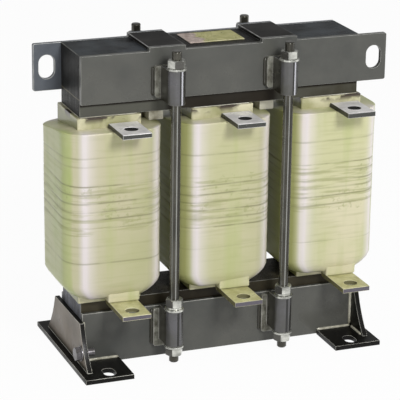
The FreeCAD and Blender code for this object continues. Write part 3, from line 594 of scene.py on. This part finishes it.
def resin_tape():
    """Clear resin over pale glass tape, laid on in layers from the palest to the darkest, with a painted
    highlight round the corners and painted shade between coils, in the grooves and on the left coils.
    """
    material, tree, shader = new_material("resin_tape", Coat_Roughness=0.3, Specular_IOR_Level=0.25)
    where = place(tree)
    large, patchy = cloud(tree, where, 13.0, 4.0), cloud(tree, where, 34.0, 3.0)
    weave = cloud(tree, stretched(tree, where, WEAVE_STRETCH), 1.0, 5.0)
    laps = cloud(tree, stretched(tree, where, LAP_STRETCH), 1.0, 4.0)
    grain = cloud(tree, where, 240.0, 4.0)
    gap_shade = marked(tree, "gap_shade")
    outer_flank = reckon(tree, "MULTIPLY", marked(tree, "outer_flank"), large)
    groove_strength = spread(tree, patchy, 0.40, 0.58, 0.25, 1.0)
    groove_shade = reckon(tree, "MULTIPLY", marked(tree, "sunk"), groove_strength)
    bound = reckon(tree, "COMPARE", axis(tree, where, "Z"), BOUND_MIDDLE, BOUND_HALF)
    specks = reckon(tree, "MULTIPLY", spread(tree, grain, 0.56, 0.66), spread(tree, patchy, 0.48, 0.60))
    specks = reckon(tree, "MULTIPLY", specks, bound)
    narrow = reckon(tree, "MULTIPLY", spread(tree, weave, 0.50, 0.60, end=0.4), bound)
    resin = srgb(190, 189, 147)
    # Of these layers, the pale one round the corners is a painted highlight, and the dark ones on the
    # fronts of the left coils, on the flanks between coils and in the grooves are painted shade.
    for share, over in (
            (spread(tree, large, 0.40, 0.60), srgb(202, 196, 165)),
            (marked(tree, "coil_shade"), srgb(138, 136, 96)),
            (spread(tree, weave, 0.52, 0.72, end=0.3), srgb(150, 152, 104)),
            (spread(tree, laps, 0.50, 0.68, end=0.4), srgb(164, 174, 106)),
            (spread(tree, marked(tree, "corner_highlight"), 0.0, 1.0, end=0.95), srgb(226, 217, 225)),
            (spread(tree, outer_flank, 0.3, 0.65, end=0.8), srgb(168, 182, 108)),
            (spread(tree, gap_shade, 0.0, 1.0, end=0.95), srgb(148, 150, 94)),
            (spread(tree, groove_shade, 0.0, 1.0, end=0.7), srgb(100, 100, 58)),
            (spread(tree, specks, 0.0, 1.0, end=0.4), srgb(132, 138, 78)),
            (narrow, srgb(142, 144, 92))):
        resin = blend(tree, share, resin, over)
    relief = reckon(tree, "MULTIPLY_ADD", laps, 0.4, weave)
    feed(tree, shader, {
        # The coat is taken off under the painted shade between coils.
        "Base Color": resin, "Coat Weight": spread(tree, gap_shade, 0.0, 1.0, 0.5, 0.0),
        "Roughness": spread(tree, weave, 0.3, 0.7, 0.35, 0.55), "Normal": bumps(tree, relief, 0.2, 0.0006)})
    return material


tape_finish = resin_tape()
HALF_X, HALF_Y, CORNER, COIL_Y = 0.0525, 0.0505, 0.024, -0.0015
FLAT_X, FLAT_Y = HALF_X - CORNER, HALF_Y - CORNER
COIL_LOW, COIL_HIGH, OPENING = 0.0750, 0.2500, 0.0335
TAPER, DRAWN_X, BOW_X, DRAWN_Y, BOW_Y = 0.015, 0.014, 1.55, 0.006, 2.3
CROWN, FALL, FALL_TURN, FALL_START = 0.0018, 0.173, math.radians(30), 0.200
TURN_LOW, TURN_STEP = 0.0965, 0.0139
GROOVE_HALF, GROOVE_DEPTH, BULGE, WAVE = 0.0014, 0.0005, 0.0004, 0.0006
CUT_X, CUT_Y = 0.0112, 0.0105
# Where the painted highlights round the corners lie, in degrees.
HIGHLIGHT_LEFT, FADE_INWARD, FADE_OUTWARD, DEGREES_PER_METRE = 14, 18, 11, 1400
HIGHLIGHT_RIGHT, FADE_RIGHT = 42, 16
# Each coil's front is darkened as painted shade, most on the left coil and not at all on the right one.
COILS = {
    "left": dict(limb=-0.120, middle=-0.118, shade_amount=0.36, inner_flanks=(1,), turns=(
        (0.2250, 0.6), (0.2160, 0.4), (0.1956, 1.0), (0.1872, 0.8), (0.1784, 1.0),
        (0.1694, 0.8), (0.1611, 1.0), (0.1520, 0.7), (0.1150, 0.7), (0.1330, 0.2))),
    "centre": dict(limb=0.0, middle=0.0, shade_amount=0.2, inner_flanks=(-1, 1), turns=(
        (0.2170, 0.6), (0.2060, 0.2), (0.1849, 0.8), (0.1757, 1.0), (0.1671, 0.8),
        (0.1583, 1.0), (0.1493, 0.8), (0.1403, 1.0), (0.1180, 0.3))),
    "right": dict(limb=0.120, middle=0.118, shade_amount=0.0, inner_flanks=(-1,), turns=(
        (0.2196, 0.6), (0.2060, 0.25), (0.1950, 1.0), (0.1863, 0.8), (0.1768, 1.0),
        (0.1690, 0.8), (0.1603, 1.0), (0.1509, 0.8), (0.1110, 0.4))),
}


def held(value):
    """A value kept between 0 and 1."""
    return max(0.0, min(1.0, value))


def wound_block(limb, middle, grooves):
    """A block with round corners and an opening for the former, cut where it will bend. Its vertices
    carry the coil's marks, of which sunk is set along the grooves between the turns of tape."""
    bm = bmesh.new()
    size = (2 * HALF_X, 2 * HALF_Y, COIL_HIGH - COIL_LOW, 1)
    centre = Matrix.Translation((middle, COIL_Y, (COIL_LOW + COIL_HIGH) / 2))
    bmesh.ops.create_cube(bm, size=1.0, matrix=centre @ Matrix.Diagonal(size))
    upright = [e for e in bm.edges if abs(e.verts[0].co.z - e.verts[1].co.z) > 0.1]
    bmesh.ops.bevel(bm, geom=upright, offset=CORNER, offset_type="OFFSET", segments=9, profile=0.5,
                    affect="EDGES", material=-1)
    marks = {name: bm.verts.layers.float.new(name) for name in ("sunk", "corner_highlight", "gap_shade", "outer_flank", "coil_shade")}
    for step in (-1.8, -1.2, -0.6, 0.0, 0.6, 1.2, 1.8):
        slice_through(bm, (middle + step * CUT_X, 0, 0), (1, 0, 0))
        slice_through(bm, (0, COIL_Y + step * CUT_Y, 0), (0, 1, 0))
    for sign in (-1, 1):
        slice_through(bm, (limb + sign * OPENING, 0, 0), (1, 0, 0))
        slice_through(bm, (0, sign * OPENING, 0), (0, 1, 0))
    levels = [COIL_LOW + TAPER * part for part in (0.14, 0.3, 0.45, 0.7, 1.0)]
    levels += [COIL_HIGH - CROWN + CROWN * part for part in (0.0, 0.38, 0.7, 0.92)]
    levels += [TURN_LOW + turn * TURN_STEP for turn in range(11)]
    for z in levels:
        slice_through(bm, (0, 0, z), (0, 0, 1))
    for z, lean_x, lean_y, depth in grooves:
        normal = Vector((lean_x, lean_y, 1.0)).normalized()
        for shift, sunk in ((-GROOVE_HALF, 0.0), (GROOVE_HALF, 0.0), (0.0, depth)):
            for vert in slice_through(bm, (middle, COIL_Y - HALF_Y, z + shift), normal):
                vert[marks["sunk"]] = sunk
    ends = [f for f in bm.faces if abs(f.normal.z) > 0.9]
    opening = [f for f in ends if abs(f.calc_center_median().x - limb) < OPENING
               and abs(f.calc_center_median().y) < OPENING]
    bmesh.ops.delete(bm, geom=opening, context="FACES")
    bmesh.ops.bridge_loops(bm, edges=[e for e in bm.edges if e.is_boundary])
    return bm, marks


def wind_coil(phase, seed, limb, middle, shade_amount, inner_flanks, turns):
    """One coil, drawn in below and rounded and sloped above. Its corners carry a painted highlight, its
    flanks between two coils and the fronts of the left coils carry painted shade, and its outer flanks are
    greener."""
    grooves = []
    for count, (z, depth) in enumerate(turns):
        lean_x = 0.012 * math.sin(seed * 2.1 + count)
        lean_y = 0.008 * math.cos(count * 1.7 + seed) - 0.02
        grooves.append((z, lean_x, lean_y, depth))
    bm, marks = wound_block(limb, middle, grooves)
    for vert in bm.verts:
        x, y, z = vert.co.x - middle, vert.co.y - COIL_Y, vert.co.z
        reach = Vector((x - max(-FLAT_X, min(FLAT_X, x)), y - max(-FLAT_Y, min(FLAT_Y, y)), 0.0))
        low = max(0.0, 1 - (z - COIL_LOW) / TAPER)
        high = max(0.0, 1 - (COIL_HIGH - z) / CROWN)
        below_crown = 1 - min(1.0, high * 2)
        crown = CROWN * (1 - math.sqrt(max(0.0, 1 - high * high)))
        in_opening = abs(vert.co.x - limb) < OPENING + HAIR and abs(vert.co.y) < OPENING + HAIR
        if not in_opening:
            vert.co.x -= (DRAWN_X * low ** BOW_X + crown) * max(-1, min(1, x / HALF_X))
            vert.co.y -= (DRAWN_Y * low ** BOW_Y + crown) * max(-1, min(1, y / HALF_Y))
        if reach.length > 0.99 * CORNER and not in_opening:
            away = reach.normalized()
            turned = math.degrees(math.atan2(abs(away.x), abs(away.y)))
            # Painted shade over the front and back, by the coil's own amount.
            vert[marks["coil_shade"]] = shade_amount * held((60 - turned) / 40) * below_crown
            # A painted highlight round the left corners, and a fainter one round the right corners.
            if x < 0:
                around = turned if turned > 0.1 else -DEGREES_PER_METRE * (x + FLAT_X)
                fade = FADE_OUTWARD if around > HIGHLIGHT_LEFT else FADE_INWARD
                vert[marks["corner_highlight"]] = 0.8 * math.exp(-((around - HIGHLIGHT_LEFT) / fade) ** 2)
            else:
                vert[marks["corner_highlight"]] = 0.7 * math.exp(-((turned - HIGHLIGHT_RIGHT) / FADE_RIGHT) ** 2)
            # Painted shade on the flanks that face another coil; the outer flanks are greener instead.
            if any(away.x * flank > 0 for flank in inner_flanks):
                start, run = (20, 20) if away.x < 0 else (64, 16)
                vert[marks["gap_shade"]] = held((turned - start) / run)
            else:
                vert[marks["outer_flank"]] = held((turned - 32) / 20)
            flat = max(0.0, 1 - (x / FLAT_X) ** 2) if abs(y) > HALF_Y - HAIR else 0.0
            wave = noise.noise(Vector((x * 22, y * 22, z * 16 + seed * 7.3)))
            lift = BULGE * flat + WAVE * wave - WAVE - GROOVE_DEPTH * vert[marks["sunk"]]
            vert.co += away * lift * below_crown
        rise = max(0.0, (z - FALL_START) / (COIL_HIGH - FALL_START))
        x, y = vert.co.x - middle, vert.co.y - COIL_Y
        vert.co.z -= rise * FALL * max(0.0, y * math.cos(FALL_TURN) - x * math.sin(FALL_TURN))
    bmesh.ops.recalc_face_normals(bm, faces=bm.faces)
    smooth(as_piece(bm, f"winding_{phase}", tape_finish, "coil_resin", f"coil_{phase}"),
           weight=75, crease=50)


for seed, (phase, coil) in enumerate(COILS.items()):
    wind_coil(phase, seed, **coil)


# Terminal bars: tinned copper, bent once where they leave the coil. The lower ones run through the
# resin dip and keep a clear yellow coat on their flats, and a tape tab holds each at the coil's foot.
HOLE_IN, HOLE_REACH = {"upper": 0.019, "lower": 0.015}, 0.008
BENT_END = -0.045
TAB_SIZE, TAB_Y, TAB_Z = (0.0335, 0.0110, 0.0138, 1), -0.0440, 0.0770


def bar_finish(name, flat, second, cut_edge_and_shade, shade, edge_colour, metallic, coat):
    """Tin on the flats, and a duller cut edge that has neither the metal's shine nor the coat and is
    painted darker as painted shade. The faces turned to either side and the walls of the bolt hole carry a
    deeper painted shade.
    """
    material, tree, shader = new_material(name, Coat_Roughness=0.12, Specular_IOR_Level=0.25)
    skin = coating(tree, flat, second, 60.0, 0.24, 0.42)
    side = marked(tree, "side")
    colour = blend(tree, side, skin["Color"], cut_edge_and_shade)
    colour = blend(tree, marked(tree, "shaded"), colour, shade)
    feed(tree, shader, {
        "Base Color": with_edge_wear_and_light(tree, colour, edge_colour, 0.6), "Roughness": skin["Roughness"],
        "Metallic": spread(tree, side, 0.0, 1.0, metallic, 0.0),
        "Coat Weight": spread(tree, side, 0.0, 1.0, coat, 0.0)})
    return material


tinned = bar_finish("tinned_copper", srgb(246, 244, 242), srgb(208, 206, 204), srgb(66, 67, 64),
                    srgb(26, 26, 24), srgb(245, 245, 245), 0.15, 0.2)
varnished = bar_finish("varnished_copper", srgb(206, 203, 158), srgb(166, 162, 112), srgb(92, 88, 96),
                       srgb(108, 104, 72), srgb(240, 236, 218), 0.1, 0.3)
for level, finish, slot in (("upper", tinned, "tinned_bar"), ("lower", varnished, "varnished_bar")):
    for phase in ("left", "centre", "right"):
        piece = dress(f"{level}_terminal_{phase}", f"{level}_bar_{phase}", finish, slot, 0.0006)
        low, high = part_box(f"{level}_terminal_{phase}")
        hole = Vector(((low[0] + high[0]) / 2, low[1] + HOLE_IN[level]))
        mark(piece, "side", lambda f: abs(f.normal.x) > 0.9
             or (abs(f.normal.z) < 0.3 and f.center.y < BENT_END))
        # Painted shade on the faces turned to either side and on the walls of the bolt hole.
        mark(piece, "shaded", lambda f: abs(f.normal.x) > 0.9
             or (abs(f.normal.z) < 0.3 and (f.center.xy - hole).length < HOLE_REACH))
for phase, x in (("left", -0.110), ("centre", 0.010), ("right", 0.130)):
    bm = bmesh.new()
    spot = Matrix.Translation((x, TAB_Y, TAB_Z))
    bmesh.ops.create_cube(bm, size=1.0, matrix=spot @ Matrix.Diagonal(TAB_SIZE))
    soften(bm, 0.0016)
    bmesh.ops.subdivide_edges(bm, edges=bm.edges, cuts=2, use_grid_fill=True)
    for vert in bm.verts:
        vert.co += vert.normal * 0.0006 * noise.noise(vert.co * 160)
    smooth(as_piece(bm, f"tape_tab_{phase}", tape_finish, "coil_resin"))


# Feet: a base plate notched round the clamped core, with an upright web that is welded to the core's
# end. Black enamel on the base and browner on the outer face of the web; weld beads along the joints.
BASE_TOP, WEB_CLEAR, WEB_INSIDE = 0.0052, 0.0110, 0.1505
FOOT_BEAD, SEAM_Z = 0.0032, 0.0055
CORE_END, NOTCH_END, WEB_FACE, WEB_REACH = 0.1495, 0.1115, 0.1498, 1.62
JOINT_X, JOINT_LOW, JOINT_HIGH, JOINT_OUT = 0.1488, 0.0075, 0.0480, 1.006


def foot_enamel():
    """Black enamel low down, brown above it, and black again on every face but the outer end of the foot.
    """
    material, tree, shader = new_material("foot_enamel", Coat_Weight=0.05, Coat_Roughness=0.12,
                                          Specular_IOR_Level=0.12)
    base = coating(tree, srgb(44, 43, 34), srgb(26, 25, 19), 30.0)
    web = coating(tree, srgb(134, 124, 112), srgb(108, 101, 92), 24.0)
    level = spread(tree, axis(tree, place(tree), "Z"), BASE_TOP, WEB_CLEAR)
    colour = blend(tree, level, base["Color"], web["Color"])
    colour = blend(tree, marked(tree, "black_faces"), colour, srgb(15, 14, 12))
    cover(tree, shader, base, colour, srgb(226, 224, 214), 1.3, 0.12)
    return material


foot_finish = foot_enamel()
weld_grey = enamel("weld_grey", srgb(206, 203, 188), srgb(146, 143, 126), srgb(214, 212, 204), scale=90.0,
                   peel=0.4)
for side, sign in (("left", -1), ("right", 1)):
    piece = dress(f"foot_{side}", f"footing_{side}", foot_finish, "foot_paint", 0.0012)
    mark(piece, "black_faces", lambda f: abs(f.normal.x) < 0.3 or f.center.x * sign < WEB_INSIDE)
    for face, y, out in (("front", -0.0353, -0.039), ("rear", 0.0353, 0.039)):
        for seam, start, end in (
                ("long", (sign * CORE_END, y, SEAM_Z), (sign * NOTCH_END, y, SEAM_Z)),
                ("side", (sign * WEB_FACE, out, SEAM_Z), (sign * WEB_FACE, out * WEB_REACH, SEAM_Z)),
                ("up", (sign * JOINT_X, y * JOINT_OUT, JOINT_LOW),
                 (sign * JOINT_X, y * JOINT_OUT, JOINT_HIGH))):
            weld(f"foot_bead_{side}_{face}_{seam}", start, end, FOOT_BEAD, weld_grey, "foot_paint")


# Earth bolt: a zinc M8 bolt screwed into the web of the left foot, with a washer under its head. It
# is darker and duller than the nuts.
dull_zinc = enamel("dull_zinc", srgb(128, 125, 130), srgb(82, 80, 78), srgb(205, 205, 202), scale=60.0,
                   amount=0.6, coat=0.0, low=0.2, high=0.36, peel=0.05, metallic=0.6)
for node in ("earth_bolt", "earth_washer"):
    dress(node, f"zinc_{node}", dull_zinc, "zinc_steel", 0.0003)


# Rating plate: a thin metal plate that lies flat on top of the upper yoke. Its two fields have a
# different finish, and the border between them is uneven.
BORDER_LOW, BORDER_HIGH, BORDER_WANDER = -0.0065, -0.0040, 0.016


def plate_finish():
    """A rosy field on the left and a yellow one on the right."""
    material, tree, shader = new_material("plate_finish", Metallic=0.1)
    where = place(tree)
    left = coating(tree, srgb(208, 190, 180), srgb(146, 128, 118), 170.0)
    right = coating(tree, srgb(192, 187, 124), srgb(158, 156, 92), 80.0)
    across = reckon(tree, "MULTIPLY_ADD", cloud(tree, where, 90.0, 3.0), BORDER_WANDER,
                    axis(tree, where, "X"))
    colour = blend(tree, spread(tree, across, BORDER_LOW, BORDER_HIGH), left["Color"], right["Color"])
    feed(tree, shader, {"Base Color": with_edge_wear_and_light(tree, colour, srgb(232, 226, 212), 0.9),
                        "Roughness": left["Roughness"]})
    return material


dress("rating_plate", "bare_plate", plate_finish(), "plate_metal", 0.0004)


# Studio: the camera stands where the photograph was taken from, a little left of the front and above.
# A white floor, a soft lamp in front, a low fill, one lamp at each side and a weak one from above.
YAW, PITCH_DOWN, ROLL = math.radians(21.3), math.radians(18.4), math.radians(0.8)
DISTANCE, LENS, SENSOR = 2.1224, 184.5, 36.0
TARGET = Vector((-0.0102, 0.0, 0.1522))
LIT_POINT = Vector((0, 0, 0.16))
FLOOR_SIZE, FLOOR_GLOW, SKY = 8.0, 0.96, 0.34


def direction(azimuth, rise):
    """The way from the part towards a lamp or a camera. Azimuth 0 is the front, positive to the right."""
    return Vector((math.sin(azimuth) * math.cos(rise), -math.cos(azimuth) * math.cos(rise), math.sin(rise)))


def lamp(name, azimuth, elevation, distance, width, tall, power):
    """A soft lamp turned towards the middle of the part, with its angles in degrees."""
    aim = direction(math.radians(azimuth), math.radians(elevation))
    light = bpy.data.lights.new(name, "AREA")
    light.shape = "RECTANGLE"
    light.size, light.size_y, light.energy = width, tall, power
    item = bpy.data.objects.new(name, light)
    scene.collection.objects.link(item)
    item.location = LIT_POINT + aim * distance
    item.rotation_euler = aim.to_track_quat("Z", "Y").to_euler()


backward = direction(-YAW, PITCH_DOWN)
level = Vector((math.cos(YAW), -math.sin(YAW), 0.0))
upward = backward.cross(level)
right = level * math.cos(ROLL) + upward * math.sin(ROLL)
up = upward * math.cos(ROLL) - level * math.sin(ROLL)
camera = bpy.data.objects.new("camera", bpy.data.cameras.new("camera"))
scene.collection.objects.link(camera)
camera.data.lens, camera.data.sensor_width = LENS, SENSOR
turn = Matrix((right, up, backward)).transposed().to_4x4()
camera.matrix_world = Matrix.Translation(TARGET + backward * DISTANCE) @ turn
scene.camera = camera

bm = bmesh.new()
bmesh.ops.create_grid(bm, x_segments=1, y_segments=1, size=FLOOR_SIZE)
mesh = bpy.data.meshes.new("floor")
bm.to_mesh(mesh)
bm.free()
floor = bpy.data.objects.new("floor", mesh)
scene.collection.objects.link(floor)
paper, tree, shader = new_material("paper", Roughness=1.0, Base_Color=(0.7, 0.7, 0.7, 1))
seen = add(tree, "ShaderNodeLightPath").outputs
bright = reckon(tree, "MAXIMUM", seen["Is Camera Ray"], seen["Is Glossy Ray"])
bright = reckon(tree, "MAXIMUM", bright, seen["Is Transmission Ray"])
glow = reckon(tree, "MULTIPLY", bright, FLOOR_GLOW)
white = add(tree, "ShaderNodeEmission", {"Strength": 1.0})
mixed = add(tree, "ShaderNodeMixShader", {0: glow, 1: shader.outputs[0], 2: white.outputs[0]})
feed(tree, tree.nodes["Material Output"], {"Surface": mixed.outputs[0]})
mesh.materials.append(paper)

world = bpy.data.worlds.new("studio")
scene.world = world
world.use_nodes = True
feed(world.node_tree, world.node_tree.nodes["Background"], {"Color": (1, 1, 1, 1), "Strength": SKY})

lamp("lamp_front", 6, 34, 2.2, 0.5, 0.45, 29)
lamp("lamp_low", -19, 4, 1.7, 0.35, 0.4, 4)
lamp("lamp_right", 72, 8, 2.0, 0.6, 1.2, 10)
lamp("lamp_left", -84, 12, 2.0, 0.6, 1.0, 5)
lamp("lamp_top", 0, 80, 2.0, 1.2, 0.8, 3)
scene.view_settings.view_transform = "Standard"
